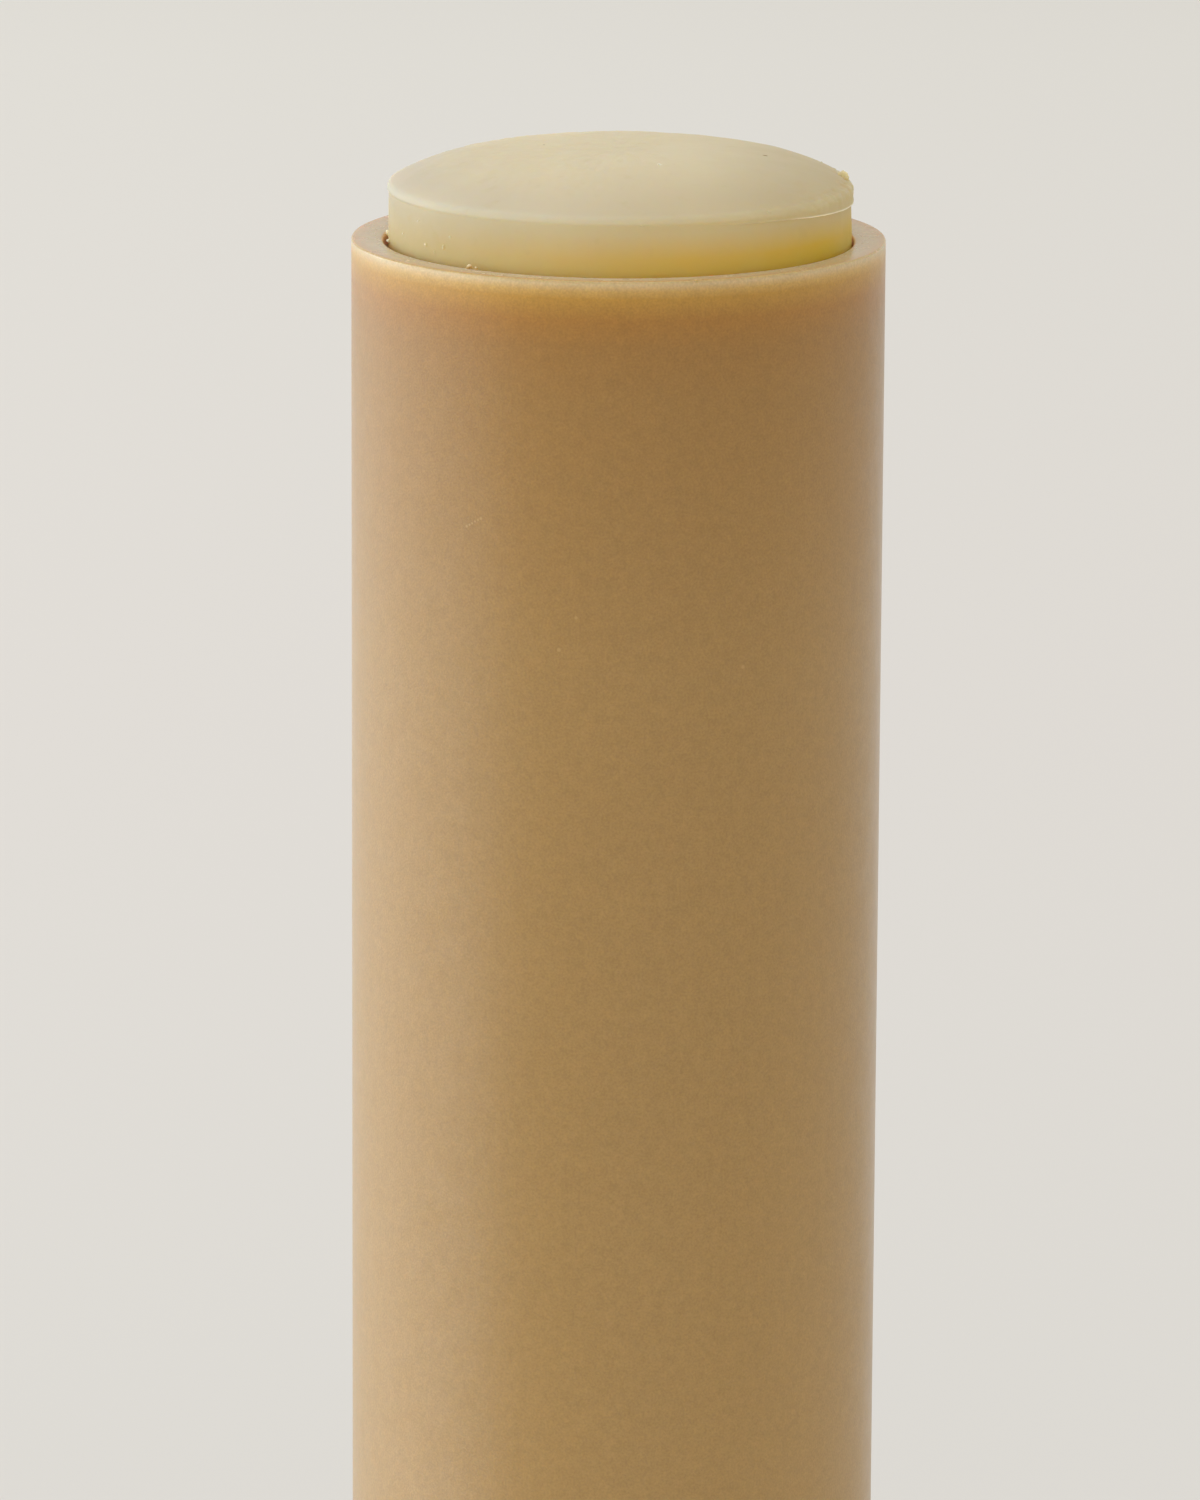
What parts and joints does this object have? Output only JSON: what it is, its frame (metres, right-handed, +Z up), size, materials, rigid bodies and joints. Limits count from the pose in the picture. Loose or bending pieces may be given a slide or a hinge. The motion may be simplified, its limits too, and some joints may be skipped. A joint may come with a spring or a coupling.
{
  "type": "lip balm",
  "caption": "Uncapped twist-up lip balm: a long-necked plastic tube with a domed stick of balm standing out of its rim, raised by a grooved dial and screw at the base.",
  "frame": {"origin": "centre of the dial's bottom, on the plane that it stands on", "axes": "+Z up along the tube's axis, towards the balm; +X towards one of the ribs in the bore"},
  "size_m": [0.0164, 0.0164, 0.0645],
  "materials": {
    "tube_plastic": "fine satin, slightly translucent caramel tan",
    "dial_plastic": "fine satin, slightly translucent caramel tan",
    "carrier_plastic": "plain moulded, milky",
    "balm_wax": "soft waxy sheen, translucent pale yellow"
  },
  "bodies": {
    "tube_body": {"tube": "tube_plastic"},
    "dial_body": {"twist_dial": "dial_plastic"},
    "balm_body": {"carrier": "carrier_plastic", "balm": "balm_wax"}
  },
  "joints": [
    {"name": "dial_turn", "type": "hinge", "parent": "tube_body", "child": "dial_body", "pos_m": [0, 0, 0], "axis": [0, 0, 1], "range_deg": [-420, 4380]},
    {"name": "balm_rise", "type": "slide", "parent": "tube_body", "child": "balm_body", "axis": [0, 0, 1], "range_m": [-0.0035, 0.0365]}
  ],
  "couplings": [
    {"joint": "dial_turn", "follows": "balm_rise", "rad_per_m": 2094.4}
  ]
}
